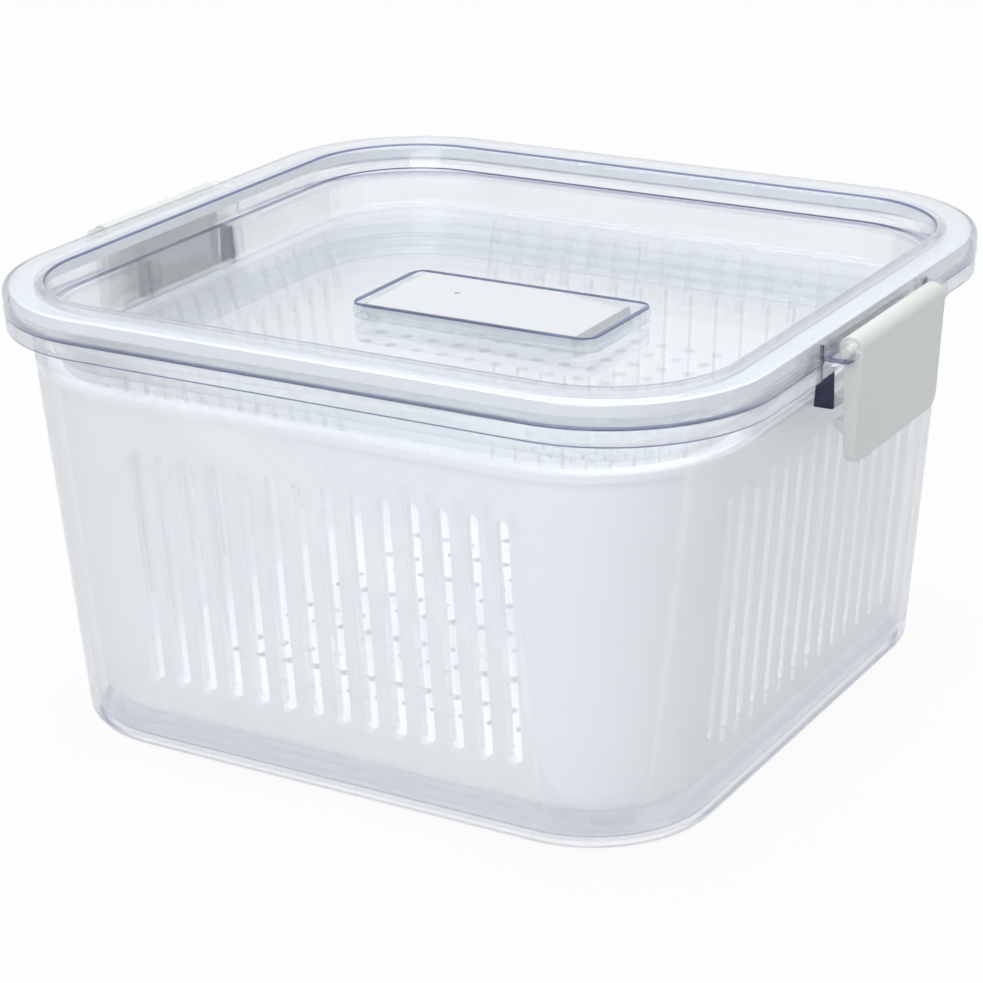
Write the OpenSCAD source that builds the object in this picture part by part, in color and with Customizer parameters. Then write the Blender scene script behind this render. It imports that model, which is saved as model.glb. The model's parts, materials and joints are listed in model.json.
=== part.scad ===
/* [Box] */
// Width of the box outside, just under its flange
mouth_w = 187; // [170:1:220]
// Depth of the box outside, just under its flange
mouth_d = 185; // [168:1:220]
// Corner radius of the box under its flange
corner_r = 39.5; // [34:0.5:44]
// Height of the box up to the top of its flange
box_h = 105.2; // [90:0.2:140]
// Lean of the walls from upright, in degrees
draft = 4.57; // [3:0.1:5]
// Thickness of the box's walls
wall_t = 2; // [1.6:0.1:2.4]
// Thickness of the box's floor
floor_t = 2.4; // [1.8:0.1:3]
// Radius of the bottom edge outside
base_round = 4.2; // [3.6:0.1:6]
// Thickness of the flange round the mouth
flange_t = 3.8; // [3:0.1:4.6]
// How far the rim stands out past the walls at the sides with the latches
rim_side = 6.5; // [6:0.1:8]
// How far the rim stands out past the walls at the front and back
rim_front = 2; // [1.9:0.1:3]
// Corner radius of the rim
rim_r = 40; // [36:0.5:46]
// Thickness of the sealing lip on top of the flange
lip_t = 1.7; // [1.2:0.1:1.8]
// Height of the sealing lip above the flange
lip_h = 2.2; // [1.6:0.1:2.6]
// Height of the catch under the flange that a latch snaps on to
catch_h = 10.4; // [8:0.2:12]
// Length of the catch
catch_len = 37; // [28:1:44]
// How far the catch stays behind the rim's side
catch_back = 2.3; // [1.8:0.1:4]

/* [Basket] */
// Space between the basket's walls and the box
basket_gap = 2.5; // [2:0.1:3.5]
// Thickness of the basket's walls
basket_t = 1.8; // [1.4:0.1:2.2]
// Thickness of the basket's floor
basket_floor_t = 2; // [1.6:0.1:2.6]
// Height of the basket's feet, which is the depth of the drain space
foot_h = 4.6; // [4.4:0.2:8]
// Radius of a foot
foot_r = 4; // [3:0.5:6]
// Distance from a foot's middle to the box's sides
foot_in = 32; // [28:1:40]
// Space between the basket's rim and the lid's panel
basket_headroom = 1.4; // [1:0.1:3]
// Thickness of the basket's rolled rim
basket_rim_t = 2; // [1.5:0.1:3]
// Space between the basket's rim and the box
basket_rim_gap = 0.6; // [0.4:0.1:0.9]
// Number of slots in each wall
slot_count = 14; // [8:1:14]
// Distance from one slot to the next
slot_pitch = 7.65; // [6.6:0.05:7.8]
// Width of a slot
slot_w = 3; // [2:0.1:3.6]
// Height of a slot's lower end above the basket's underside
slot_low = 11.8; // [8:0.2:20]
// Distance from a slot's upper end to the basket's rim
slot_high = 13.8; // [10:0.2:30]
// Number of drain holes along each side of the floor
drain_rows = 15; // [7:2:15]
// Distance from one drain hole to the next
drain_pitch = 8; // [7:0.2:8.4]
// Radius of a drain hole
drain_r = 1.7; // [1.2:0.1:2.2]

/* [Lid] */
// Height of the lid's rim from its lower edge to its crest
rim_h = 6.9; // [6.4:0.1:8]
// Thickness of the lid
lid_t = 1.8; // [1.5:0.1:1.9]
// Space between the lid's lower edge and the box's flange
lid_gap = 0.2; // [0.15:0.05:0.4]
// Space between the lid's skirt and the sealing lip
lip_gap = 0.4; // [0.3:0.05:0.6]
// Rounding of the rim's outer edge
crest_round = 1.9; // [1.2:0.1:2.4]
// Width of the rim's flat crest
crest_w = 8.1; // [7.6:0.1:9]
// Rounding of the crest's inner edge
crest_in_r = 0.8; // [0.5:0.1:1.2]
// How far the rim slopes inwards below the crest
crest_slope = 2.9; // [2:0.1:4]
// Height of that slope
crest_drop = 6.5; // [5:0.1:8]
// Depth of the lid's panel below the crest
recess_h = 16.3; // [14:0.1:18]
// Width of the seal
seal_w = 5.6; // [4.8:0.1:5.7]
// Space between the seal and the box's lip
seal_gap = 0.3; // [0.2:0.05:0.4]

/* [Latches] */
// Length of a latch
latch_len = 48.6; // [36:0.2:60]
// Distance from a latch's pivot to its lower edge
latch_drop = 27.4; // [24:0.2:34]
// Thickness of a latch's plate
latch_t = 2.2; // [1.8:0.1:2.4]
// Radius of a latch's hinge barrel
barrel_r = 3; // [2.6:0.1:3.2]
// How far a latch's lower edge leans in towards the box, in degrees
latch_lean = 3.5; // [2:0.5:4]
// Depth of a latch's side edges at the hinge
latch_depth = 4.6; // [4:0.1:5.2]
// Depth of a latch's side edges at the lower end
latch_depth_low = 2.6; // [2.5:0.1:4]
// Distance from the rim's side out to the pivot
pivot_out = 4; // [3.8:0.1:5]
// Height of the pivot above the flange
pivot_up = 2.8; // [2.6:0.1:3.2]
// Width of a latch's side edges
latch_edge = 2; // [1.4:0.1:3]
// Radius of a latch's lower corners
latch_corner = 4; // [2:0.5:7]
// Height of the snap ridge at its tip
ridge_h = 1.7; // [1.2:0.1:2.2]
// Height of the snap ridge at its root
ridge_root_h = 5; // [3:0.2:6]
// Depth of the notch that the rim and the flange have behind a latch
notch_depth = 1; // [0.6:0.1:1.1]
// How far the notch goes on past an ear
notch_over = 2.4; // [1:0.2:4]
// Radius of a hinge pin
pin_r = 1.2; // [0.9:0.1:1.4]
// Radial clearance of a hinge pin in its ear
pin_clear = 0.05; // [0.02:0.01:0.09]
// Thickness of an ear
ear_t = 2.7; // [2:0.1:4]
// Radius of an ear round its pin
ear_r = 2.6; // [2.2:0.1:2.8]
// Space between pieces that move past each other
run_gap = 0.3; // [0.25:0.01:0.35]

/* [Vent] */
// Length of the vent's cup outside
cup_l = 69; // [60:1:76]
// Width of the vent's cup outside
cup_w = 34; // [28:1:40]
// Depth of the vent's cup below the panel's top
cup_h = 8.2; // [8:0.1:12]
// Height of the cup's rim above the panel
vent_rise = 2; // [1:0.1:3]
// Thickness of the cup's walls
cup_t = 1.5; // [1.2:0.1:1.8]
// Corner radius of the cup outside
cup_r = 5; // [3:0.5:8]
// Corner radius of the cup inside
cup_in_r = 1.5; // [1:0.1:2]
// Length of the finger gap at the end of the flap
finger_gap = 5.2; // [4.6:0.1:9]
// Thickness of the flap
flap_t = 1.6; // [1.2:0.1:2]
// Space between the flap and the cup
flap_gap = 0.4; // [0.3:0.05:0.6]
// Depth of the flap's top below the cup's rim
flap_sink = 0.2; // [0.1:0.05:0.5]
// Radius of the flap's hinge barrel
flap_barrel_r = 2.8; // [2.4:0.1:3]
// Radius of the flap's hinge pins
flap_pin_r = 1.1; // [0.8:0.1:1.3]
// How far a flap pin reaches into the cup's wall
flap_pin_l = 0.9; // [0.7:0.1:1]
// Thickness of the flap's side edges
flap_edge_t = 1.2; // [1:0.1:1.6]
// Depth of the flap's side edges by the hinge
flap_edge_h = 3; // [2.4:0.1:4]
// Depth of the flap's sloped end and of the side edges by it
flap_end_h = 6.2; // [5:0.1:7]
// Distance from the flap's finger end to the step in its side edges
flap_step = 23.8; // [16:0.1:30]
// Distance from the flap's finger end to the crease across it
flap_crease = 20.3; // [14:0.1:26]
// How far the flap drops from the crease to its finger end
flap_drop = 1; // [0.5:0.1:2]
// How far the flap's sloped end leans out
flap_lean = 1.2; // [0.8:0.1:2]
// Radius of the dimple in the flap
dimple_r = 0.8; // [0.5:0.1:1.2]
// Distance from the cup's middle back to the dimple
dimple_back = 14.3; // [10:0.1:20]
// Distance from the cup's middle line to the dimple
dimple_side = 2.9; // [0:0.1:6]
// Depth of the dimple
dimple_h = 0.5; // [0.3:0.1:0.8]
// Distance from the cup's middle to the vent hole
vent_back = 8; // [4:0.5:14]
// Radius of the vent hole
vent_r = 2; // [1.5:0.1:2.4]
// Height of the seat round the vent hole
seat_h = 1.8; // [1.2:0.1:2.2]
// Radius of the soft plug that closes the vent
plug_r = 3.6; // [3:0.1:4.5]

/* [Hidden] */
$fn = 48;
// How far pieces of one solid reach into each other, and how far a cut goes past what it cuts
overlap = 0.5;
past = 1;
// How far a pin's end stays short of its bore's end, and the seal off the rim's skirt
pin_short = 0.2;
seal_fit = 0.1;
// How far a latch's face stays behind the side of its barrel, and the barrel's ends behind its sides
face_back = 0.1;
barrel_back = 0.2;

lean = tan(draft);
// The box: corner centres, levels and radii from a corner's centre
box_cx = mouth_w / 2 - corner_r;
box_cy = mouth_d / 2 - corner_r;
flange_low = box_h - flange_t;
rim_x = mouth_w / 2 + rim_side;
rim_y = mouth_d / 2 + rim_front;
flange_inset = 0.3;
function box_out(z) = corner_r - lean * (flange_low - min(z, flange_low));

// The rim: corner centres, and the lid's levels
rim_cx = rim_x - rim_r;
rim_cy = rim_y - rim_r;
lid_low = box_h + lid_gap;
crest = lid_low + rim_h;
panel_top = crest - recess_h;
panel_low = panel_top - lid_t;
lip_out = rim_r - lid_t - lip_gap;
recess_r = rim_r - crest_round - crest_w - crest_slope;
channel_top = crest - lid_t;
slope_lean = atan(crest_slope / crest_drop);

// The latches
pivot_x = rim_x + pivot_out;
pivot_z = box_h + pivot_up;
ear_in = latch_len / 2 + run_gap;
ear_end = ear_in + ear_t;
notch_half = ear_end + notch_over;
notch_top = crest - crest_round - run_gap;
catch_low = flange_low - catch_h;

// The basket
basket_low = floor_t + foot_h;
basket_top = panel_low - basket_headroom;
basket_round = base_round;
function basket_out(z) = box_out(z) - wall_t - basket_gap;

// The vent
cup_in_l = cup_l - 2 * cup_t;
cup_in_w = cup_w - 2 * cup_t;
cup_low = panel_top - cup_h;
cup_floor = cup_low + cup_t;
cup_top = panel_top + vent_rise;
flap_top = cup_top - flap_sink;
flap_x0 = -cup_in_l / 2 + flap_gap + flap_barrel_r;
flap_x1 = cup_in_l / 2 - finger_gap;
flap_half = cup_in_w / 2 - flap_gap;
flap_pivot_z = flap_top - flap_barrel_r;
flap_pin_end = cup_in_w / 2 + flap_pin_l;
seat_top = cup_floor + seat_h;

function arc(cx, cz, r, a0, a1, n = 6) =
    [for (i = [0:n]) let (a = a0 + (a1 - a0) * i / n) [cx + r * cos(a), cz + r * sin(a)]];

// A closed ring with round corners: the profile is drawn as [distance from the corner centre, height]
module ring(cx, cy, profile) {
    for (k = [0:3]) {
        along = k % 2 == 0 ? cx : cy;
        across = k % 2 == 0 ? cy : cx;
        rotate([0, 0, 90 * k])
            translate([along, across, 0])
                rotate_extrude(angle = 90) polygon(profile);
        rotate([0, 0, 90 * k])
            translate([along, 0, 0])
                rotate([90, 0, 0])
                    linear_extrude(2 * across, center = true) polygon(profile);
    }
}

module round_rect(hx, hy, r) {
    square([2 * hx, 2 * (hy - r)], center = true);
    square([2 * (hx - r), 2 * hy], center = true);
    for (sx = [-1, 1], sy = [-1, 1])
        translate([sx * (hx - r), sy * (hy - r)]) circle(r);
}

module slab(hx, hy, r, z0, z1) {
    translate([0, 0, z0]) linear_extrude(z1 - z0) round_rect(hx, hy, r);
}

module rod_y(x, z, r, y0, y1) {
    translate([x, y0, z]) rotate([-90, 0, 0]) cylinder(r = r, h = y1 - y0);
}

module block(x0, x1, y0, y1, z0, z1) {
    translate([x0, y0, z0]) cube([x1 - x0, y1 - y0, z1 - z0]);
}

// A profile drawn as [x, height], run across the middle of the keeper
module across(half, points) {
    translate([0, half, 0]) rotate([90, 0, 0]) linear_extrude(2 * half) polygon(points);
}

// Clear box with round corners, a flange, a sealing lip and a catch at each side
module outer_box() {
    turn = base_round * cos(draft);
    turn_x = box_out(base_round * (1 - sin(draft))) - turn;
    inner_round = base_round - wall_t;
    inner_x = box_out(floor_t + inner_round) - wall_t - inner_round;
    flange_r = rim_r - flange_inset;
    lip_in = lip_out - lip_t;
    lip_top = box_h + lip_h;
    mouth_r = corner_r - wall_t;
    profile = concat(
        [[turn_x - past, 0]],
        arc(turn_x, base_round, base_round, -90, -draft),
        [[corner_r, flange_low], [corner_r, box_h], [mouth_r, box_h], [mouth_r, flange_low]],
        arc(inner_x, floor_t + inner_round, inner_round, 0, -90),
        [[turn_x - past, floor_t]]);
    color("aliceblue", 0.35) {
        ring(box_cx, box_cy, profile);
        slab(box_cx + turn_x, box_cy + turn_x, turn_x, 0, floor_t);
        difference() {
            union() {
                slab(rim_cx + flange_r, rim_cy + flange_r, flange_r, flange_low, box_h);
                slab(rim_cx + lip_out, rim_cy + lip_out, lip_out, box_h - overlap, lip_top);
            }
            slab(rim_cx + lip_in, rim_cy + lip_in, lip_in, box_h, lip_top + past);
            slab(box_cx + mouth_r, box_cy + mouth_r, mouth_r, flange_low - past, lip_top + past);
            for (s = [0, 1])
                mirror([s, 0, 0]) latch_notch(flange_low - past, box_h + past);
        }
        for (s = [0, 1])
            mirror([s, 0, 0]) box_catch();
    }
}

// The catch on one side of the box
module box_catch() {
    wall_in = box_cx + box_out(catch_low) - overlap;
    half = catch_len / 2;
    block(wall_in, rim_x - catch_back, -half, half, catch_low, flange_low + overlap);
}

// The room behind a latch, cut into the flange and into the rim's skirt
module latch_notch(z0, z1) {
    block(rim_x - notch_depth, rim_x + past, -notch_half, notch_half, z0, z1);
}

// White basket with upright slots in its walls and round drain holes in its floor
module colander_basket() {
    turn = basket_round * cos(draft);
    turn_x = basket_out(basket_low + basket_round * (1 - sin(draft))) - turn;
    inner_round = basket_round - basket_t;
    floor_top = basket_low + basket_floor_t;
    inner_x = basket_out(floor_top + inner_round) - basket_t - inner_round;
    rim_out = box_out(basket_top - basket_rim_t) - wall_t - basket_rim_gap;
    profile = concat(
        [[turn_x - past, basket_low]],
        arc(turn_x, basket_low + basket_round, basket_round, -90, -draft),
        [[basket_out(basket_top - basket_rim_t), basket_top - basket_rim_t]],
        [[rim_out, basket_top - basket_rim_t], [rim_out, basket_top]],
        [[basket_out(basket_top) - basket_t, basket_top]],
        arc(inner_x, floor_top + inner_round, inner_round, 0, -90),
        [[turn_x - past, floor_top]]);
    color("whitesmoke") {
        difference() {
            ring(box_cx, box_cy, profile);
            wall_slots();
        }
        translate([0, 0, basket_low])
            linear_extrude(basket_floor_t)
                difference() {
                    round_rect(box_cx + turn_x, box_cy + turn_x, turn_x);
                    drain_holes();
                }
        for (sx = [-1, 1], sy = [-1, 1])
            translate([sx * (mouth_w / 2 - foot_in), sy * (mouth_d / 2 - foot_in), floor_t])
                cylinder(r = foot_r, h = foot_h + overlap);
    }
}

module wall_slots() {
    reach = max(mouth_w, mouth_d);
    low = basket_low + slot_low + slot_w / 2;
    high = basket_top - slot_high - slot_w / 2;
    for (turn = [0, 90], i = [0:slot_count - 1])
        rotate([0, 0, turn])
            translate([(i - (slot_count - 1) / 2) * slot_pitch, 0, 0]) {
                block(-slot_w / 2, slot_w / 2, -reach, reach, low, high);
                rod_y(0, low, slot_w / 2, -reach, reach);
                rod_y(0, high, slot_w / 2, -reach, reach);
            }
}

module drain_holes() {
    middle = (drain_rows - 1) / 2;
    for (i = [0:drain_rows - 1], j = [0:drain_rows - 1])
        translate([(i - middle) * drain_pitch, (j - middle) * drain_pitch])
            circle(drain_r, $fn = 24);
}

// Clear lid: rounded rim, sunk panel, vent cup and the ears of the latches
module lid() {
    edge = rim_r - crest_round;
    inner = edge - crest_w;
    skirt_in = rim_r - lid_t;
    under_r = recess_r + lid_t;
    under_z = crest - crest_drop - lid_t * tan(slope_lean / 2);
    profile = concat(
        [[rim_r, lid_low]],
        arc(edge, crest - crest_round, crest_round, 0, 90),
        arc(inner + crest_in_r, crest - crest_in_r, crest_in_r, 90, 180 - slope_lean, 3),
        [[recess_r, crest - crest_drop], [recess_r, panel_low]],
        [[under_r, panel_low], [under_r, under_z]],
        [[under_r + (channel_top - under_z) * tan(slope_lean), channel_top]],
        [[skirt_in, channel_top], [skirt_in, lid_low]]);
    panel_r = recess_r + overlap;
    color("aliceblue", 0.35) {
        difference() {
            union() {
                difference() {
                    ring(rim_cx, rim_cy, profile);
                    for (s = [0, 1])
                        mirror([s, 0, 0]) latch_notch(lid_low - past, notch_top);
                }
                for (s = [0, 1])
                    mirror([s, 0, 0]) latch_ears();
            }
            for (s = [0, 1])
                mirror([s, 0, 0])
                    rod_y(pivot_x, pivot_z, pin_r + pin_clear, -notch_half, notch_half);
        }
        difference() {
            union() {
                slab(rim_cx + panel_r, rim_cy + panel_r, panel_r, panel_low, panel_top);
                slab(cup_l / 2, cup_w / 2, cup_r, cup_low, cup_top);
            }
            slab(cup_in_l / 2, cup_in_w / 2, cup_in_r, cup_floor, cup_top + past);
            flap_rod(flap_pin_r + pin_clear, flap_pin_end + pin_short);
            vent_rod(vent_r, cup_low - past, seat_top);
        }
        difference() {
            vent_rod(plug_r, cup_floor - overlap, seat_top);
            vent_rod(vent_r, cup_low - past, seat_top + past);
        }
    }
}

// Two ears at the ends of a latch
module latch_ears() {
    for (s = [0, 1])
        mirror([0, s, 0]) {
            block(rim_x - lid_t, pivot_x, ear_in, ear_end, lid_low, pivot_z + ear_r);
            rod_y(pivot_x, pivot_z, ear_r, ear_in, ear_end);
        }
}

// A rod on the flap's hinge line
module flap_rod(r, half) {
    rod_y(flap_x0, flap_pivot_z, r, -half, half);
}

// An upright rod on the vent hole's line
module vent_rod(r, z0, z1) {
    translate([-vent_back, 0, z0]) cylinder(r = r, h = z1 - z0);
}

// Soft ring under the lid's rim, over the box's lip
module lid_seal() {
    outside = rim_r - lid_t - seal_fit;
    seal_low = box_h + lip_h + seal_gap;
    profile = [[outside, seal_low], [outside, channel_top],
               [outside - seal_w, channel_top], [outside - seal_w, seal_low]];
    color("white") ring(rim_cx, rim_cy, profile);
}

// One latch: a leaning plate with turned-in edges, a hinge barrel with a pin at each end, a snap ridge
module latch() {
    half = latch_len / 2;
    face = barrel_r - face_back;
    inside = face - latch_depth - past;
    taper = (latch_depth - latch_depth_low) / latch_drop;
    wedge_h = latch_drop + past;
    wedge = [[face, 0], [face - latch_depth, 0],
             [face - latch_depth + taper * wedge_h, -wedge_h], [face, -wedge_h]];
    ridge_top = catch_low - run_gap;
    plate_in = pivot_x + face - latch_t - (pivot_z - ridge_top) * sin(latch_lean);
    root = plate_in + overlap;
    ridge = [[rim_x, ridge_top - ridge_h], [rim_x, ridge_top],
             [root, ridge_top], [root, ridge_top - ridge_root_h]];
    color("snow") {
        translate([pivot_x, 0, pivot_z])
            rotate([0, latch_lean, 0])
                difference() {
                    intersection() {
                        across(half + past, wedge);
                        latch_sheet(half, -latch_drop, inside, face + past);
                    }
                    latch_sheet(half - latch_edge, latch_edge - latch_drop, inside, face - latch_t);
                }
        rod_y(pivot_x, pivot_z, barrel_r, barrel_back - half, half - barrel_back);
        across(half - latch_edge / 2, ridge);
        for (s = [0, 1])
            mirror([0, s, 0]) rod_y(pivot_x, pivot_z, pin_r, half - overlap, ear_end - pin_short);
    }
}

// A sheet that faces sideways from x0 to x1, with round lower corners
module latch_sheet(half, low, x0, x1) {
    flat = half - latch_corner;
    translate([x0, 0, 0])
        rotate([90, 0, 90])
            linear_extrude(x1 - x0) {
                translate([-half, low + latch_corner]) square([2 * half, past - low - latch_corner]);
                translate([-flat, low]) square([2 * flat, latch_corner + overlap]);
                for (s = [-1, 1])
                    translate([s * flat, low + latch_corner]) circle(latch_corner);
            }
}

module right_latch() {
    latch();
}

module left_latch() {
    mirror([1, 0, 0]) latch();
}

// White flap in the vent's cup, hinged at one end, with a crease, a dimple and a sloped finger end
module vent_flap() {
    crease_x = flap_x1 - flap_crease;
    step_x = flap_x1 - flap_step;
    under = flap_top - flap_t;
    end_top = flap_top - flap_drop;
    end_low = flap_top - flap_end_h;
    end_x = flap_x1 + flap_lean;
    edge_x = flap_x1 - flap_t / 2;
    outline = [[flap_x0, under], [flap_x0, flap_top], [crease_x, flap_top], [flap_x1, end_top],
               [end_x, end_low], [end_x - flap_t, end_low],
               [flap_x1 - flap_t, end_top - flap_t], [crease_x, under]];
    side = [[flap_x0, flap_top - flap_edge_h], [flap_x0, flap_top - overlap],
            [crease_x, flap_top - overlap], [edge_x, end_top - overlap],
            [edge_x + flap_lean, end_low], [step_x, end_low], [step_x, flap_top - flap_edge_h]];
    color("white") {
        difference() {
            across(flap_half, outline);
            translate([-dimple_back, dimple_side, flap_top - dimple_h])
                cylinder(r = dimple_r, h = dimple_h + past);
        }
        for (s = [0, 1])
            mirror([0, s, 0])
                translate([0, flap_half - flap_edge_t / 2, 0]) across(flap_edge_t / 2, side);
        flap_rod(flap_barrel_r, flap_half - cup_in_r);
        flap_rod(flap_pin_r, flap_pin_end);
    }
}

// Soft plug under the flap, over the seat of the vent hole
module vent_plug() {
    color("gainsboro")
        vent_rod(plug_r, seat_top + run_gap, flap_top - flap_t);
}

outer_box();
colander_basket();
lid();
lid_seal();
right_latch();
left_latch();
vent_flap();
vent_plug();
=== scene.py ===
"""A produce keeper: clear box and lid, white colander basket, two latches and a flap vent."""

import json
import math

import bmesh
import bpy
from bpy.props import FloatProperty, FloatVectorProperty, PointerProperty
from mathutils import Matrix, Vector


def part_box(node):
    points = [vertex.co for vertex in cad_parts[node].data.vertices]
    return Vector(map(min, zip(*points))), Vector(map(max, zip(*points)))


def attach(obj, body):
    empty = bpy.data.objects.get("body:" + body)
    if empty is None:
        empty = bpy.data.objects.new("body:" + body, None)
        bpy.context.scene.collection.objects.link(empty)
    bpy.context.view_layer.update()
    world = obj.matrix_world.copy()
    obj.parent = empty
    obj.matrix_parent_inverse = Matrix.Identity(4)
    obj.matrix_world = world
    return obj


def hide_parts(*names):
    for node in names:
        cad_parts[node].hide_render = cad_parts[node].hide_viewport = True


bl_info = {
    "name": "Produce keeper",
    "version": (1, 0, 0),
    "blender": (4, 5, 0),
    "location": "View3D > Sidebar > Keeper",
    "description": "Dresses a latching produce keeper with its finishes, light and camera",
    "category": "Object",
}

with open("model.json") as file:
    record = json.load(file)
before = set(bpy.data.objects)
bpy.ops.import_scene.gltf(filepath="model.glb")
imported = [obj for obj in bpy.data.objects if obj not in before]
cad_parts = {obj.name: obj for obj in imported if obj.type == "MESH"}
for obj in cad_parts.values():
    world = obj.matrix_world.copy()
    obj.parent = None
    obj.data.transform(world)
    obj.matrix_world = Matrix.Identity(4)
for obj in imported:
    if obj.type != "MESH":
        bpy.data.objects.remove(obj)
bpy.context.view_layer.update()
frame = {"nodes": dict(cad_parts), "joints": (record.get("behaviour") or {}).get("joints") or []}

MM = 0.001
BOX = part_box("outer_box")
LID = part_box("lid")
# Points along each round corner, and how far past its ends one more point keeps the side flat
CORNER_STEPS = 28
FLAT = 1.5 * MM
# Clearance of a latch beside its ears and its catch, and of a pin in its bore
EAR_GAP = 0.3 * MM
PIN_GAP = 0.05 * MM
# Past the keeper's sides and its top, for blocks that cut right through
BEYOND = 0.12


def joint(name):
    """The frame's joint of that name."""
    return next(j for j in frame["joints"] if j["name"] == name)


def srgb(text):
    """A hex colour such as #F2F4F6 as a linear RGBA colour."""
    parts = [int(text[i : i + 2], 16) / 255 for i in (1, 3, 5)]
    return [c / 12.92 if c <= 0.04045 else ((c + 0.055) / 1.055) ** 2.4 for c in parts] + [1.0]


def length(name, note, default):
    """A property that holds a length, in metres."""
    return FloatProperty(name=name, description=note, default=default, unit="LENGTH")


def tilt(name, note, default):
    """A property that holds an angle, given in degrees."""
    return FloatProperty(name=name, description=note, default=math.radians(default), subtype="ANGLE")


def tone(name, note, default):
    """A property that holds a colour, written as it is seen."""
    return FloatVectorProperty(name=name, description=note, size=4, subtype="COLOR", default=srgb(default))


class KeeperSizes(bpy.types.PropertyGroup):
    """Sizes of the keeper's forms. All but the cup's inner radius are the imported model's own."""

    rim_x: length("Rim half width", "Half the rim's width, latch side to latch side", 0.1)
    rim_radius: length("Rim radius", "Corner radius of the lid's rim", 0.040)
    rim_round: length("Rim rounding", "Rounding of the rim's outer edge", 0.0019)
    wall_radius: length("Wall radius", "Corner radius of the box under its flange", 0.0395)
    wall: length("Wall", "Thickness of the box's walls", 0.002)
    floor: length("Floor", "Thickness of the box's floor", 0.0024)
    draft: tilt("Draft", "Lean of the walls", 4.57)
    base: length("Base rounding", "Radius of the box's bottom edge", 0.0042)
    flange: length("Flange", "Thickness of the flange", 0.0038)
    lip: length("Lip height", "Height of the sealing lip above the flange", 0.0022)
    lip_wall: length("Lip wall", "Thickness of the sealing lip", 0.0017)
    mouth_x: length("Mouth half width", "Half the box's width under its flange", 0.0935)
    mouth_y: length("Mouth half depth", "Half the box's depth under its flange", 0.0925)
    catch: length("Catch height", "Height of the catch under the flange", 0.0104)
    catch_half: length("Catch half length", "Half the catch's length", 0.0185)
    catch_back: length("Catch set-back", "How far the catch stays behind the rim", 0.0023)
    lid_wall: length("Lid wall", "Thickness of the lid", 0.0018)
    crest: length("Crest", "Width of the rim's crest", 0.0081)
    slope: length("Slope", "How far the rim slopes inwards below its crest", 0.0029)
    drop: length("Slope height", "Height of that slope", 0.0065)
    recess: length("Recess", "Depth of the lid's panel below the crest", 0.0163)
    cup_x: length("Cup half length", "Half the length of the vent's cup", 0.0345)
    cup_y: length("Cup half width", "Half the width of the vent's cup", 0.017)
    cup_wall: length("Cup wall", "Thickness of the cup's walls", 0.0015)
    cup_rise: length("Cup rise", "Height of the cup's rim above the panel", 0.002)
    cup_radius: length("Cup radius", "Corner radius of the cup outside", 0.005)
    cup_inner: length("Cup inner radius", "Corner radius of the cup inside", 0.0012)
    vent_back: length("Vent place", "Distance of the vent hole from the keeper's middle", 0.008)
    vent: length("Vent radius", "Radius of the vent hole", 0.002)
    seat: length("Seat radius", "Radius of the seat round the vent hole", 0.0036)
    flap_pin: length("Flap pin radius", "Radius of the flap's hinge pins", 0.0011)
    latch_half: length("Latch half length", "Half a latch's length", 0.0243)
    latch_drop: length("Latch drop", "Distance from a latch's pivot to its lower edge", 0.0274)
    latch_lean: tilt("Latch lean", "Lean of a latch", 3.5)
    latch_depth: length("Latch depth", "Depth of a latch's plate at its top", 0.0046)
    latch_taper: length("Latch taper", "How much less deep the plate is at its lower edge", 0.002)
    latch_wall: length("Latch wall", "Width of the plate's edges", 0.002)
    latch_sheet: length("Latch sheet", "Thickness of the plate inside its edges", 0.0022)
    latch_corner: length("Latch corner", "Radius of the plate's lower corners", 0.004)
    ridge: length("Ridge height", "Height of a latch's snap ridge", 0.0017)
    barrel: length("Barrel radius", "Radius of a latch's hinge barrel", 0.003)
    pin: length("Pin radius", "Radius of a latch's hinge pins", 0.0012)
    ear: length("Ear radius", "Radius of a hinge ear", 0.0026)
    ear_width: length("Ear width", "Width of a hinge ear", 0.0027)


class KeeperColours(bpy.types.PropertyGroup):
    """Colours of the keeper's finishes, and the painted shade and shadow on parts of the clear plastic."""

    clear: tone("Clear plastic", "Tint of the clear box and lid", "#FCFDFE")
    # Violet tint of the clear plastic, darkened into painted shade where the eye looks along it
    edge: tone("Clear plastic's edges", "Violet tint of the clear plastic, darkened into painted shade where the eye looks along it", "#8188B4")
    # Painted dark lines on the narrow edges of the clear plastic
    line: tone("Clear plastic's rims", "Painted dark lines on the narrow edges of the clear plastic", "#7A81A8")
    # Painted shade: a near-black colour on the clear ends of the catches and the notches
    end_shade: tone("Painted shade on clear ends", "Tone of the ends of the catches and the notches", "#161B38")
    # Painted shade on the top of the lid's rim, which also dims the light on the seal under it
    crest: tone("Rim's crest", "Painted shade on the top of the lid's rim and on the seal under it", "#EEF0F2")
    # Painted shadow on the clear floor: the grey of the shaded ground under the basket
    floor: tone("Box's floor", "Painted shadow on the clear floor under the basket", "#D9DCE4")
    white: tone("White plastic", "The basket", "#F7F9FA")
    flap: tone("Flap plastic", "The vent flap", "#DDDFE2")
    latch: tone("Latch plastic", "The two latches", "#E2E5E0")
    silicone: tone("Silicone", "The seal and the plug", "#F1F3F6")


def sizes():
    return bpy.context.scene.keeper_sizes


def colours():
    return bpy.context.scene.keeper_colours


def clear_selection():
    """Leaves edit mode and deselects everything."""
    if bpy.context.object and bpy.context.object.mode != "OBJECT":
        bpy.ops.object.mode_set(mode="OBJECT")
    bpy.ops.object.select_all(action="DESELECT")


def pick(*pieces):
    """Selects only these pieces and makes the first one active."""
    clear_selection()
    for piece in pieces:
        piece.select_set(True)
    bpy.context.view_layer.objects.active = pieces[0]


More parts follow.
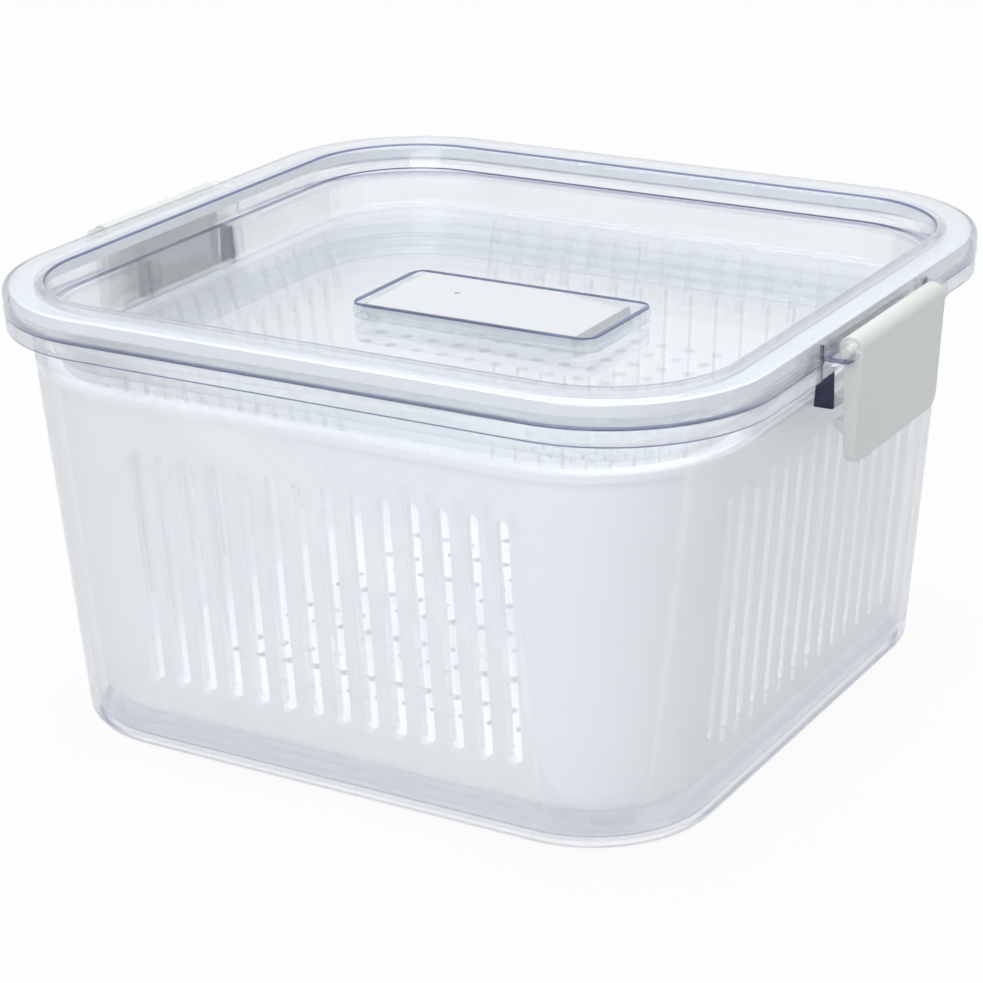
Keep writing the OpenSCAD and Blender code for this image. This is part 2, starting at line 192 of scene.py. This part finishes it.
def edit_faces(piece, test):
    """Enters edit mode with only the faces selected for which the test of centre and normal is true."""
    pick(piece)
    bpy.ops.object.mode_set(mode="EDIT")
    bpy.ops.mesh.select_mode(type="FACE")
    mesh = bmesh.from_edit_mesh(piece.data)
    for face in mesh.faces:
        face.select_set(test(face.calc_center_median(), face.normal))
    bmesh.update_edit_mesh(piece.data)


def edit_edges(piece, test):
    """Enters edit mode with only the edges selected for which the test of both ends is true."""
    pick(piece)
    bpy.ops.object.mode_set(mode="EDIT")
    bpy.ops.mesh.select_mode(type="EDGE")
    mesh = bmesh.from_edit_mesh(piece.data)
    for face in mesh.faces:
        face.select_set(False)
    for edge in mesh.edges:
        edge.select_set(test(edge.verts[0].co, edge.verts[1].co))
    bmesh.update_edit_mesh(piece.data)


def outline(half_x, half_y, radius, z):
    """Points of a rectangle with round corners, with one more by each corner that keeps the sides flat."""
    points = []
    for turn, (side, end) in enumerate(((1, 1), (-1, 1), (-1, -1), (1, -1))):
        centre = Vector((side * (half_x - radius), end * (half_y - radius), z))
        arc = []
        for step in range(CORNER_STEPS + 1):
            angle = math.radians(90) * (turn + step / CORNER_STEPS)
            arc.append(Vector((radius * math.cos(angle), radius * math.sin(angle), 0)))
        ahead = Matrix.Rotation(math.radians(90) * turn, 3, "Z") @ Vector((0, -FLAT, 0))
        past = Matrix.Rotation(math.radians(90) * turn, 3, "Z") @ Vector((-FLAT, 0, 0))
        points += [centre + arm for arm in [arc[0] + ahead] + arc + [arc[-1] + past]]
    return points


def offsets(centre_x, centre_y, path):
    """Outlines round corner centres, one for each [distance, height] of a path."""
    return [outline(centre_x + d, centre_y + d, d, z) for d, z in path]


def rounded_path(points, steps=4):
    """A path of [distance, height, radius] with each corner turned into an arc of that radius."""
    path = []
    for i, (d, z, radius) in enumerate(points):
        here = Vector((d, z))
        if radius == 0 or i in (0, len(points) - 1):
            path.append(here)
            continue
        before = (Vector(points[i - 1][:2]) - here).normalized()
        after = (Vector(points[i + 1][:2]) - here).normalized()
        half = before.angle(after) / 2
        reach = radius / math.tan(half)
        centre = here + (before + after).normalized() * (radius / math.sin(half))
        start, end = here + before * reach - centre, here + after * reach - centre
        turn = start.angle_signed(end)
        for step in range(steps + 1):
            arm = start.copy()
            arm.rotate(Matrix.Rotation(-turn * step / steps, 2))
            path.append(centre + arm)
    return path


def loft(name, loops):
    """A closed skin drawn from loop to loop by extruding edges, with its first and last loop filled."""
    clear_selection()
    bpy.ops.mesh.primitive_circle_add(vertices=len(loops[0]), radius=0.1, fill_type="NOTHING")
    piece = bpy.context.object
    piece.name = piece.data.name = name
    bpy.ops.object.mode_set(mode="EDIT")
    mesh = bmesh.from_edit_mesh(piece.data)
    mesh.verts.ensure_lookup_table()
    first = list(range(len(loops[0])))
    for index, point in zip(first, loops[0]):
        mesh.verts[index].co = point
    bmesh.update_edit_mesh(piece.data)
    ring = first
    for loop in loops[1:]:
        bpy.ops.mesh.extrude_region()
        mesh = bmesh.from_edit_mesh(piece.data)
        mesh.verts.index_update()
        mesh.verts.ensure_lookup_table()
        fresh = []
        for index, point in zip(ring, loop):
            old = mesh.verts[index]
            new = next(e.other_vert(old) for e in old.link_edges if e.other_vert(old).select)
            new.co = point
            fresh.append(new.index)
        bmesh.update_edit_mesh(piece.data)
        ring = fresh
    for end in (ring, first):
        bpy.ops.mesh.select_all(action="DESELECT")
        mesh = bmesh.from_edit_mesh(piece.data)
        mesh.verts.ensure_lookup_table()
        for index in end:
            mesh.verts[index].select = True
        mesh.select_flush(True)
        bmesh.update_edit_mesh(piece.data)
        bpy.ops.mesh.edge_face_add()
    bpy.ops.mesh.select_all(action="SELECT")
    bpy.ops.mesh.normals_make_consistent(inside=False)
    bpy.ops.object.mode_set(mode="OBJECT")
    return piece


def brick(name, a, b, bevel=0.0):
    """A block between two opposite corners, its edges rounded, with its place in its mesh."""
    clear_selection()
    low = Vector([min(pair) for pair in zip(a, b)])
    high = Vector([max(pair) for pair in zip(a, b)])
    bpy.ops.mesh.primitive_cube_add(size=1, location=(low + high) / 2)
    piece = bpy.context.object
    piece.name = piece.data.name = name
    piece.scale = high - low
    bpy.ops.object.transform_apply(location=True, rotation=True, scale=True)
    if bevel:
        soften(piece, bevel)
    return piece


def rod(name, centre, radius, half, axis="Y", vertices=48, bevel=0.0):
    """A round bar centred on a point, along Y or Z, with its place in its mesh."""
    clear_selection()
    turn = (math.radians(90), 0, 0) if axis == "Y" else (0, 0, 0)
    bpy.ops.mesh.primitive_cylinder_add(
        vertices=vertices, radius=radius, depth=2 * half, location=centre, rotation=turn)
    piece = bpy.context.object
    piece.name = piece.data.name = name
    bpy.ops.object.transform_apply(location=True, rotation=True, scale=True)
    if bevel:
        soften(piece, bevel)
    return piece


def apply(piece, kind, **settings):
    """Adds one modifier with its settings and applies it."""
    pick(piece)
    modifier = piece.modifiers.new(kind.title(), kind)
    for key, value in settings.items():
        setattr(modifier, key, value)
    bpy.ops.object.modifier_apply(modifier=modifier.name)


def soften(piece, width, segments=3, angle=40):
    """Rounds the edges that turn by more than an angle, in degrees."""
    limit = math.radians(angle)
    apply(piece, "BEVEL", width=width, segments=segments, limit_method="ANGLE", angle_limit=limit)


def combine(piece, other, operation):
    """Joins a piece with another, or cuts the other out of it, and removes the other."""
    apply(piece, "BOOLEAN", operation=operation, object=other, solver="EXACT")
    bpy.data.objects.remove(other, do_unlink=True)


def smooth(piece, angle=30):
    pick(piece)
    bpy.ops.object.shade_smooth_by_angle(angle=math.radians(angle))


def mirrored(piece, name):
    """A copy on the other side of the keeper, with its own mesh and its faces outwards."""
    copy = piece.copy()
    copy.data = piece.data.copy()
    copy.name = copy.data.name = name
    bpy.context.scene.collection.objects.link(copy)
    copy.data.transform(Matrix.Scale(-1, 4, (1, 0, 0)))
    copy.data.flip_normals()
    return copy


def hand_over(piece, node):
    """Lets a piece ride and replace the CAD node of its body."""
    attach(piece, "box" if node == "outer_box" else node)
    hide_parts(node)


def add(tree, kind, settings=None, **links):
    """Adds one node with its settings and its inputs: a value, or another node's output."""
    node = tree.nodes.new(kind)
    for key, value in (settings or {}).items():
        setattr(node, key, value)
    for key, value in links.items():
        numbered = key[0] == "i" and key[1:].isdigit()
        socket = node.inputs[int(key[1:])] if numbered else node.inputs[key.replace("_", " ")]
        if isinstance(value, bpy.types.NodeSocket):
            tree.links.new(value, socket)
        else:
            socket.default_value = value
    return node


def new_material(name):
    """An empty material and its node tree."""
    material = bpy.data.materials.new(name)
    material.use_nodes = True
    material.node_tree.nodes.clear()
    return material, material.node_tree


def paint(piece, material):
    piece.data.materials.clear()
    piece.data.materials.append(material)


def clear_plastic(name, tint_and_shade, grazing_tint_and_shade, glass_low, glass_high):
    """Styrene acrylonitrile, injection moulded and polished: water clear face on, violet along its edges,
    where its tint darkens into painted shade.
    """
    material, tree = new_material(name)
    place = add(tree, "ShaderNodeTexCoord").outputs["Object"]
    # Faint waves about 30 mm long, as plastic that has flowed through a polished mould keeps them
    flow = add(tree, "ShaderNodeTexNoise", Vector=place, Scale=35.0, Detail=1.0)
    sway = add(tree, "ShaderNodeBump", Strength=0.15, Distance=0.15 * MM, Height=flow.outputs[0])
    glass = add(tree, "ShaderNodeBsdfPrincipled", Base_Color=tint_and_shade, Roughness=0.03, IOR=1.5,
                Normal=sway.outputs[0])
    glass.inputs["Transmission Weight"].default_value = 1.0
    facing = add(tree, "ShaderNodeLayerWeight", Blend=0.5).outputs["Facing"]
    steep = add(tree, "ShaderNodeMath", {"operation": "POWER"}, i0=facing, i1=5.0)
    # Where the eye looks along the pane its colour turns to the grazing colour: a violet tint, darkened into
    # painted shade
    along = add(tree, "ShaderNodeMath", {"operation": "POWER"}, i0=facing, i1=9.0)
    mixed = add(tree, "ShaderNodeMix", {"data_type": "RGBA"}, Factor=along.outputs[0])
    mixed.inputs["A"].default_value = tint_and_shade
    mixed.inputs["B"].default_value = grazing_tint_and_shade
    sheet = add(tree, "ShaderNodeBsdfTransparent", Color=mixed.outputs["Result"])
    gloss = add(tree, "ShaderNodeBsdfGlossy", Roughness=0.03)
    mirror = add(tree, "ShaderNodeMapRange", Value=steep.outputs[0])
    mirror.inputs["To Min"].default_value = 0.04
    mirror.inputs["To Max"].default_value = 0.9
    share = add(tree, "ShaderNodeMapRange", Value=steep.outputs[0])
    share.inputs["To Min"].default_value = glass_low
    share.inputs["To Max"].default_value = glass_high
    shadow = add(tree, "ShaderNodeLightPath").outputs["Is Shadow Ray"]
    lit = add(tree, "ShaderNodeMath", {"operation": "SUBTRACT"}, i0=1.0, i1=shadow).outputs[0]
    shine = add(tree, "ShaderNodeMath", {"operation": "MULTIPLY"}, i0=mirror.outputs[0], i1=lit).outputs[0]
    part = add(tree, "ShaderNodeMath", {"operation": "MULTIPLY"}, i0=share.outputs[0], i1=lit).outputs[0]
    pane = add(tree, "ShaderNodeMixShader", i0=shine, i1=sheet.outputs[0], i2=gloss.outputs[0])
    both = add(tree, "ShaderNodeMixShader", i0=part, i1=pane.outputs[0], i2=glass.outputs[0])
    add(tree, "ShaderNodeOutputMaterial", Surface=both.outputs[0])
    return material


def clear_finishes(piece, name, glass_low, glass_high):
    """Slots 0 to 4 of a clear piece: walls, narrow edges with painted dark lines, ends in painted dark
    shade, floor in painted shadow and crest in painted shade.
    """
    c = colours()
    # Besides the walls' tint, the slots hold painted dark lines, painted shade and painted shadow
    parts = (("", c.clear, c.edge), (" edges", c.line, c.edge), (" thick", c.end_shade, c.end_shade),
             (" floor", c.floor, c.floor), (" crest", c.crest, c.edge))
    for part, tint_and_shade, grazing_tint_and_shade in parts:
        finish = clear_plastic("Polished clear SAN, " + name + part, tint_and_shade, grazing_tint_and_shade, glass_low, glass_high)
        piece.data.materials.append(finish)


def shade_ends(piece):
    """Gives a block's ends the third slot, a painted dark shade, so that what the block joins or cuts has
    that painted shade there.
    """
    for slot in range(3):
        piece.data.materials.append(None)
    mark(piece, 2, lambda c, n: abs(n.y) > 0.7)
    return piece


def mark(piece, slot, test):
    """Gives a slot to the plain faces of a clear piece for which the test of centre and normal is true."""
    for face in piece.data.polygons:
        if face.material_index == 0 and test(face.center, face.normal):
            face.material_index = slot


def moulded_plastic(name, colour, roughness, grain_mm, depth):
    """Polypropylene, ABS or silicone from a fine-eroded mould: soft sheen over a faint grain."""
    material, tree = new_material(name)
    place = add(tree, "ShaderNodeTexCoord").outputs["Object"]
    # The mould's own grain, under 0.1 mm, is too fine to show, so it is drawn about ten times as coarse
    grain = add(tree, "ShaderNodeTexNoise", Vector=place, Scale=1000 / grain_mm, Detail=2.0)
    bump = add(tree, "ShaderNodeBump", Strength=0.25, Distance=depth * MM, Height=grain.outputs[0])
    cloud = add(tree, "ShaderNodeTexNoise", Vector=place, Scale=25.0, Detail=1.0)
    ramp = add(tree, "ShaderNodeMapRange", Value=cloud.outputs[0])
    ramp.inputs["To Min"].default_value = 0.97
    ramp.inputs["To Max"].default_value = 1.0
    mixed = add(tree, "ShaderNodeMix", {"data_type": "RGBA", "blend_type": "MULTIPLY"}, Factor=1.0)
    mixed.inputs["A"].default_value = colour
    tree.links.new(ramp.outputs[0], mixed.inputs["B"])
    shader = add(tree, "ShaderNodeBsdfPrincipled", Base_Color=mixed.outputs["Result"], Roughness=roughness,
                 IOR=1.49, Normal=bump.outputs[0])
    add(tree, "ShaderNodeOutputMaterial", Surface=shader.outputs[0])
    return material


def flange_top():
    return BOX[1][2] - sizes().lip


def wall_distance(z):
    """Distance of the box's outer wall from its corner centres at a height."""
    low = flange_top() - sizes().flange
    return sizes().wall_radius - math.tan(sizes().draft) * (low - min(z, low))


def box_loops():
    """Loops of the box from the middle of its floor, up inside, over the flange and down to its base."""
    s = sizes()
    top, high = BOX[1][2], flange_top()
    low = high - s.flange
    wall_x, wall_y = s.mouth_x - s.wall_radius, s.mouth_y - s.wall_radius
    edge = s.rim_radius - 0.3 * MM
    lip_out = s.rim_radius - s.lid_wall - 0.4 * MM
    lip_in = lip_out - s.lip_wall
    inner = wall_distance(low) - s.wall
    inside = rounded_path([
        (wall_distance(0) - 12 * MM, s.floor, 0),
        (wall_distance(s.floor) - s.wall, s.floor, s.base - s.wall),
        (inner, low, 0)], 6)
    brim = rounded_path([
        (lip_in - 0.3 * MM, high, 0),
        (lip_in, high, 0.2 * MM),
        (lip_in, top, 0.5 * MM),
        (lip_out, top, 0.5 * MM),
        (lip_out, high, 0.2 * MM),
        (edge, high, 0.5 * MM),
        (edge, low, 0.5 * MM),
        (edge - 1.2 * MM, low, 0)], 3)
    outside = rounded_path([
        (wall_distance(low) + 0.3 * MM, low, 0),
        (wall_distance(low), low - 0.3 * MM, 0),
        (wall_distance(0), 0, s.base),
        (wall_distance(0) - 9 * MM, 0, 0)], 8)
    loops = offsets(wall_x, wall_y, inside)
    loops += offsets(wall_x, wall_y, [(inner, high - 0.3 * MM), (inner + 0.1 * MM, high - 0.1 * MM)])
    loops += offsets(s.rim_x - s.rim_radius, BOX[1][1] - edge, brim)
    loops += offsets(wall_x, wall_y, outside)
    return loops


def notch(side, low, high):
    """A block that cuts the room behind a latch out of the flange or the rim's skirt."""
    half = ear_end() + 2.4 * MM
    return brick("notch", (side * (sizes().rim_x - 1 * MM), -half, low), (side * BEYOND, half, high))


def out_of(point, corner):
    """Distance of a point from the nearest corner centre, or from the line between two of them."""
    return Vector((max(0, abs(point.x) - corner[0]), max(0, abs(point.y) - corner[1]))).length


def ear_end():
    return sizes().latch_half + EAR_GAP + sizes().ear_width


class KEEPER_OT_box(bpy.types.Operator):
    """Models the clear box"""

    bl_idname = "keeper.box"
    bl_label = "Clear box"

    def execute(self, context):
        box = loft("clear_box", box_loops())
        clear_finishes(box, "box", 0.3, 0.85)
        s = sizes()
        low = flange_top() - s.flange
        root = s.mouth_x - s.wall + 0.3 * MM
        for side in (-1, 1):
            # The ends of the notch and of the catch get the painted dark shade
            combine(box, shade_ends(notch(side, low - 0.5 * MM, BEYOND)), "DIFFERENCE")
            near = (side * root, -s.catch_half, low - s.catch)
            far = (side * (s.rim_x - s.catch_back), s.catch_half, low + 0.4 * MM)
            combine(box, shade_ends(brick("catch", near, far, 0.5 * MM)), "UNION")
        brim = s.rim_radius - 0.9 * MM
        reach = (s.rim_x - s.rim_radius, BOX[1][1] + 0.3 * MM - s.rim_radius)
        # Painted dark lines along the lower edges of the flange and of the base
        mark(box, 1, lambda c, n: abs(c.z - low) < 0.6 * MM and out_of(c, reach) > brim)
        mark(box, 1, lambda c, n: c.z < 0.6 * MM and -0.99 < n.z < 0)
        # Painted shadow on the floor, the grey of the shaded ground under the basket
        mark(box, 3, lambda c, n: c.z < s.floor + 0.1 * MM and abs(n.z) > 0.9)
        smooth(box)
        hand_over(box, "outer_box")
        return {"FINISHED"}


class KEEPER_OT_basket(bpy.types.Operator):
    """Gives the white basket its finish"""

    bl_idname = "keeper.basket"
    bl_label = "Colander basket"

    def execute(self, context):
        finish = moulded_plastic("Satin white polypropylene", colours().white, 0.35, 0.6, 0.02)
        paint(frame["nodes"]["colander_basket"], finish)
        return {"FINISHED"}


def cup_loops(inside, path):
    """Outlines of the vent's cup, one for each [step outwards, height] of a path."""
    s = sizes()
    half_x, half_y, radius = s.cup_x, s.cup_y, s.cup_radius
    if inside:
        half_x, half_y, radius = half_x - s.cup_wall, half_y - s.cup_wall, s.cup_inner
    return [outline(half_x + d, half_y + d, radius + d, z) for d, z in path]


def lid_loops():
    """Loops of the lid from the floor of its vent cup, over the rim and back to the cup's underside."""
    s = sizes()
    crest, cup_low = LID[1][2], LID[0][2]
    low = flange_top() + 0.2 * MM
    panel = crest - s.recess
    under = panel - s.lid_wall
    cup_top = panel + s.cup_rise
    inner = s.rim_radius - s.rim_round - s.crest
    recess = inner - s.slope
    bend = crest - s.drop
    skirt, roof = s.rim_radius - s.lid_wall, crest - s.lid_wall + 0.15 * MM
    loops = cup_loops(True, [
        (-1.0 * MM, cup_low + s.cup_wall),
        (-0.3 * MM, cup_low + s.cup_wall + 0.1 * MM),
        (0, cup_low + s.cup_wall + 0.6 * MM),
        (0, cup_top - 0.3 * MM),
        (0.1 * MM, cup_top - 0.1 * MM),
        (0.3 * MM, cup_top)])
    loops += cup_loops(False, [
        (-0.4 * MM, cup_top),
        (-0.1 * MM, cup_top - 0.1 * MM),
        (0, cup_top - 0.4 * MM),
        (0, panel + 0.4 * MM),
        (0.4 * MM, panel)])
    loops += offsets(s.rim_x - s.rim_radius, LID[1][1] - s.rim_radius, rounded_path([
        (recess - 6 * MM, panel, 0),
        (recess, panel, 1.2 * MM),
        (recess, bend, 0.5 * MM),
        (inner, crest, 1.2 * MM),
        (s.rim_radius, crest, s.rim_round),
        (s.rim_radius, low, 0.4 * MM),
        (skirt, low, 0.4 * MM),
        (skirt, roof, 0.6 * MM),
        (inner + 1.2 * MM, roof, 0.8 * MM),
        (recess + s.lid_wall, bend - 0.4 * MM, 0.8 * MM),
        (recess + s.lid_wall, under, 1.4 * MM),
        (recess - 6 * MM, under, 0)], 4))
    loops += cup_loops(False, [
        (0.3 * MM, under),
        (0, under - 0.3 * MM),
        (0, cup_low + 1.2 * MM),
        (-0.3 * MM, cup_low + 0.4 * MM),
        (-1.0 * MM, cup_low)])
    return loops


class KEEPER_OT_lid(bpy.types.Operator):
    """Models the clear lid with its vent cup and hinge ears"""

    bl_idname = "keeper.lid"
    bl_label = "Clear lid"

    def execute(self, context):
        lid = loft("clear_lid", lid_loops())
        clear_finishes(lid, "lid", 0.2, 0.85)
        s = sizes()
        hinge = Vector(joint("right_latch_hinge")["pos_m"])
        low = flange_top() + 0.2 * MM
        inner, outer = s.latch_half + EAR_GAP, ear_end()
        middle, half = (inner + outer) / 2, (outer - inner) / 2
        for side in (-1, 1):
            # The notch's ends get the painted dark shade
            combine(lid, shade_ends(notch(side, low - 2 * MM, LID[1][2] - 2.2 * MM)), "DIFFERENCE")
            for end in (-1, 1):
                near = (side * (s.rim_x - 1.7 * MM), end * inner, low)
                far = (side * hinge.x, end * outer, hinge.z + s.ear)
                combine(lid, brick("ear", near, far, 0.3 * MM), "UNION")
                boss = (side * hinge.x, end * middle, hinge.z)
                combine(lid, rod("boss", boss, s.ear, half, bevel=0.3 * MM), "UNION")
            bore = rod("bore", (side * hinge.x, 0, hinge.z), s.pin + PIN_GAP, outer + MM, vertices=32)
            combine(lid, bore, "DIFFERENCE")
        flap_hinge = Vector(joint("vent_flap_hinge")["pos_m"])
        flap_bore = rod("flap_bore", flap_hinge, s.flap_pin + PIN_GAP, s.cup_y - 0.4 * MM, vertices=32)
        combine(lid, flap_bore, "DIFFERENCE")
        cup_floor = LID[0][2] + s.cup_wall
        seat = rod("seat", (-s.vent_back, 0, cup_floor + 0.7 * MM), s.seat, 1.1 * MM, "Z")
        combine(lid, seat, "UNION")
        vent = rod("vent", (-s.vent_back, 0, cup_floor), s.vent, 3 * MM, "Z", 32)
        combine(lid, vent, "DIFFERENCE")
        reach = (s.rim_x - s.rim_radius, LID[1][1] - s.rim_radius)
        bend = LID[1][2] - s.drop
        recess = s.rim_radius - s.rim_round - s.crest - s.slope
        cup_top = LID[1][2] - s.recess + s.cup_rise
        # Painted dark lines along the skirt's lower edge, the recess's bend and the rim's slope
        mark(lid, 1, lambda c, n: abs(c.z - low) < 0.45 * MM)
        mark(lid, 1, lambda c, n: abs(c.z - bend) < 0.5 * MM and out_of(c, reach) < recess + 0.4 * MM)
        mark(lid, 1, lambda c, n: abs(out_of(c, reach) - recess - s.slope) < MM and 0.5 < n.z < 0.85)
        # Painted shade on the top of the crest
        mark(lid, 4, lambda c, n: n.z > 0.6 and c.z > LID[1][2] - 1.2 * MM)
        # Painted dark line along the top of the cup's rim
        cup = (s.cup_x, s.cup_y)
        mark(lid, 1, lambda c, n: abs(c.z - cup_top) < 0.3 * MM and abs(c.x) < cup[0] and abs(c.y) < cup[1])
        smooth(lid)
        hand_over(lid, "lid")
        seal_finish = moulded_plastic("Milky silicone", colours().silicone, 0.5, 1.2, 0.02)
        paint(frame["nodes"]["lid_seal"], seal_finish)
        return {"FINISHED"}


class KEEPER_OT_latches(bpy.types.Operator):
    """Models the two latches"""

    bl_idname = "keeper.latches"
    bl_label = "Latches"

    def execute(self, context):
        s = sizes()
        hinge = Vector(joint("right_latch_hinge")["pos_m"])
        face = hinge.x + s.barrel - 0.1 * MM
        low = hinge.z - s.latch_drop
        half = s.latch_half
        latch = brick("right_latch_plate", (face - s.latch_depth, -half, low), (face, half, hinge.z))
        edit_edges(latch, lambda a, b: max(a.z, b.z) < low + MM and max(a.x, b.x) < face - MM)
        bpy.ops.transform.translate(value=(s.latch_taper, 0, 0))
        edit_edges(latch, lambda a, b: max(a.z, b.z) < low + MM and abs(a.y - b.y) < MM)
        bpy.ops.mesh.bevel(offset=s.latch_corner, segments=10, affect="EDGES")
        edit_faces(latch, lambda centre, normal: normal.x < -0.9)
        bpy.ops.mesh.inset(thickness=s.latch_wall, use_even_offset=True)
        bpy.ops.mesh.extrude_region()
        bpy.ops.transform.resize(value=(0, 1, 1), center_override=(face - s.latch_sheet, 0, low))
        bpy.ops.object.mode_set(mode="OBJECT")
        soften(latch, 0.8 * MM, 4, 50)
        pick(latch)
        bpy.ops.object.mode_set(mode="EDIT")
        bpy.ops.mesh.select_all(action="SELECT")
        bpy.ops.transform.rotate(value=-s.latch_lean, orient_axis="Y", center_override=hinge)
        bpy.ops.object.mode_set(mode="OBJECT")
        barrel = rod("barrel", (hinge.x, 0, hinge.z), s.barrel, half - 0.2 * MM, vertices=64, bevel=0.4 * MM)
        combine(latch, barrel, "UNION")
        pins = rod("pins", (hinge.x, 0, hinge.z), s.pin, ear_end() - 0.2 * MM, vertices=32)
        combine(latch, pins, "UNION")
        ridge_top = flange_top() - s.flange - s.catch - EAR_GAP
        root = face - s.latch_sheet - (hinge.z - ridge_top) * math.sin(s.latch_lean) + 0.5 * MM
        ridge = brick("ridge", (s.rim_x, MM - half, ridge_top - s.ridge), (root, half - MM, ridge_top))
        edit_edges(ridge, lambda a, b: max(a.z, b.z) < ridge_top - MM and min(a.x, b.x) > root - MM)
        bpy.ops.transform.translate(value=(0, 0, -3.3 * MM))
        bpy.ops.object.mode_set(mode="OBJECT")
        soften(ridge, 0.3 * MM)
        combine(latch, ridge, "UNION")
        smooth(latch, 35)
        paint(latch, moulded_plastic("Satin white ABS", colours().latch, 0.4, 0.5, 0.02))
        hand_over(latch, "right_latch")
        hand_over(mirrored(latch, "left_latch_plate"), "left_latch")
        return {"FINISHED"}


class KEEPER_OT_vent(bpy.types.Operator):
    """Gives the vent's flap and plug their finishes"""

    bl_idname = "keeper.vent"
    bl_label = "Vent flap"

    def execute(self, context):
        flap_finish = moulded_plastic("Gloss white ABS", colours().flap, 0.25, 0.8, 0.01)
        paint(frame["nodes"]["vent_flap"], flap_finish)
        plug_finish = moulded_plastic("Milky silicone, plug", colours().silicone, 0.5, 1.2, 0.02)
        paint(frame["nodes"]["vent_plug"], plug_finish)
        return {"FINISHED"}


def seen_rays(tree):
    """1 for the rays of the camera, of reflections and of clear parts, and 0 for those that light things."""
    rays = add(tree, "ShaderNodeLightPath")
    either = {"operation": "MAXIMUM"}
    seen, glossy = rays.outputs["Is Camera Ray"], rays.outputs["Is Glossy Ray"]
    eye = add(tree, "ShaderNodeMath", either, i0=seen, i1=glossy)
    both = add(tree, "ShaderNodeMath", either, i0=eye.outputs[0], i1=rays.outputs["Is Transmission Ray"])
    return both.outputs[0]


class KEEPER_OT_stage(bpy.types.Operator):
    """Sets the floor, the light and the camera"""

    bl_idname = "keeper.stage"
    bl_label = "Stage"

    def execute(self, context):
        scene = context.scene
        clear_selection()
        bpy.ops.mesh.primitive_plane_add(size=6, location=(0, 0, 0))
        floor = context.object
        floor.name = "floor"
        material, tree = new_material("White sweep")
        share = add(tree, "ShaderNodeMath", {"operation": "MULTIPLY"}, i0=seen_rays(tree), i1=0.93)
        matt = add(tree, "ShaderNodeBsdfDiffuse", Color=srgb("#E4E6E9"))
        glow = add(tree, "ShaderNodeEmission", Color=srgb("#FFFFFF"), Strength=1.0)
        both = add(tree, "ShaderNodeMixShader", i0=share.outputs[0], i1=matt.outputs[0], i2=glow.outputs[0])
        add(tree, "ShaderNodeOutputMaterial", Surface=both.outputs[0])
        paint(floor, material)

        world = bpy.data.worlds.new("Studio")
        scene.world = world
        world.use_nodes = True
        tree = world.node_tree
        tree.nodes.clear()
        plain = add(tree, "ShaderNodeBackground", Color=srgb("#F4F6FA"), Strength=0.47)
        white = add(tree, "ShaderNodeBackground", Color=srgb("#FFFFFF"), Strength=1.0)
        both = add(tree, "ShaderNodeMixShader", i0=seen_rays(tree), i1=plain.outputs[0], i2=white.outputs[0])
        add(tree, "ShaderNodeOutputWorld", Surface=both.outputs[0])

        lamp("key", (0.25, -1.4, 0.8), 0.9, 5.4)
        lamp("top", (-0.1, 0.1, 1.6), 1.2, 17.0)
        camera_as_photographed(scene)
        scene.view_settings.view_transform = "Standard"
        return {"FINISHED"}


def lamp(name, place, size, power):
    """A soft square lamp that points at the keeper."""
    clear_selection()
    bpy.ops.object.light_add(type="AREA", location=place)
    light = bpy.context.object
    light.name = light.data.name = name
    light.data.size = size
    light.data.energy = power
    light.rotation_euler = (Vector((0, 0, 0.05)) - Vector(place)).to_track_quat("-Z", "Y").to_euler()


def camera_as_photographed(scene):
    """The camera at the photograph's angle, distance and roll."""
    azimuth, elevation, roll = math.radians(30.65), math.radians(20.75), math.radians(-1.19)
    target, distance, focal_px, frame_px = Vector((3.84, -12.87, 53.14)) * MM, 0.71859, 2895.0, 983
    flat = math.cos(elevation)
    back = Vector((math.sin(azimuth) * flat, -math.cos(azimuth) * flat, math.sin(elevation)))
    level = Vector((math.cos(azimuth), math.sin(azimuth), 0))
    rise = back.cross(level)
    right = level * math.cos(roll) + rise * math.sin(roll)
    up = back.cross(right)
    clear_selection()
    bpy.ops.object.camera_add()
    camera = bpy.context.object
    place = Matrix.Translation(target + back * distance)
    camera.matrix_world = place @ Matrix((right, up, back)).transposed().to_4x4()
    camera.data.sensor_width = 36
    camera.data.lens = 36 * focal_px / frame_px
    camera.data.clip_start, camera.data.clip_end = 0.01, 20
    scene.camera = camera


class KEEPER_PT_panel(bpy.types.Panel):
    """Lists the keeper's steps, sizes and colours"""

    bl_idname = "KEEPER_PT_panel"
    bl_label = "Produce keeper"
    bl_space_type = "VIEW_3D"
    bl_region_type = "UI"
    bl_category = "Keeper"

    def draw(self, context):
        for step in STEPS:
            self.layout.operator(step)
        for group in (context.scene.keeper_sizes, context.scene.keeper_colours):
            for key in group.__annotations__:
                self.layout.prop(group, key)


STEPS = ("keeper.stage", "keeper.box", "keeper.basket", "keeper.lid", "keeper.latches", "keeper.vent")
CLASSES = (KeeperSizes, KeeperColours, KEEPER_OT_box, KEEPER_OT_basket, KEEPER_OT_lid, KEEPER_OT_latches,
           KEEPER_OT_vent, KEEPER_OT_stage, KEEPER_PT_panel)


def register():
    for cls in CLASSES:
        bpy.utils.register_class(cls)
    bpy.types.Scene.keeper_sizes = PointerProperty(type=KeeperSizes)
    bpy.types.Scene.keeper_colours = PointerProperty(type=KeeperColours)


def unregister():
    del bpy.types.Scene.keeper_sizes
    del bpy.types.Scene.keeper_colours
    for cls in reversed(CLASSES):
        bpy.utils.unregister_class(cls)


def main():
    register()
    for step in STEPS:
        group, name = step.split(".")
        getattr(getattr(bpy.ops, group), name)()
    clear_selection()


if __name__ == "__main__":
    main()
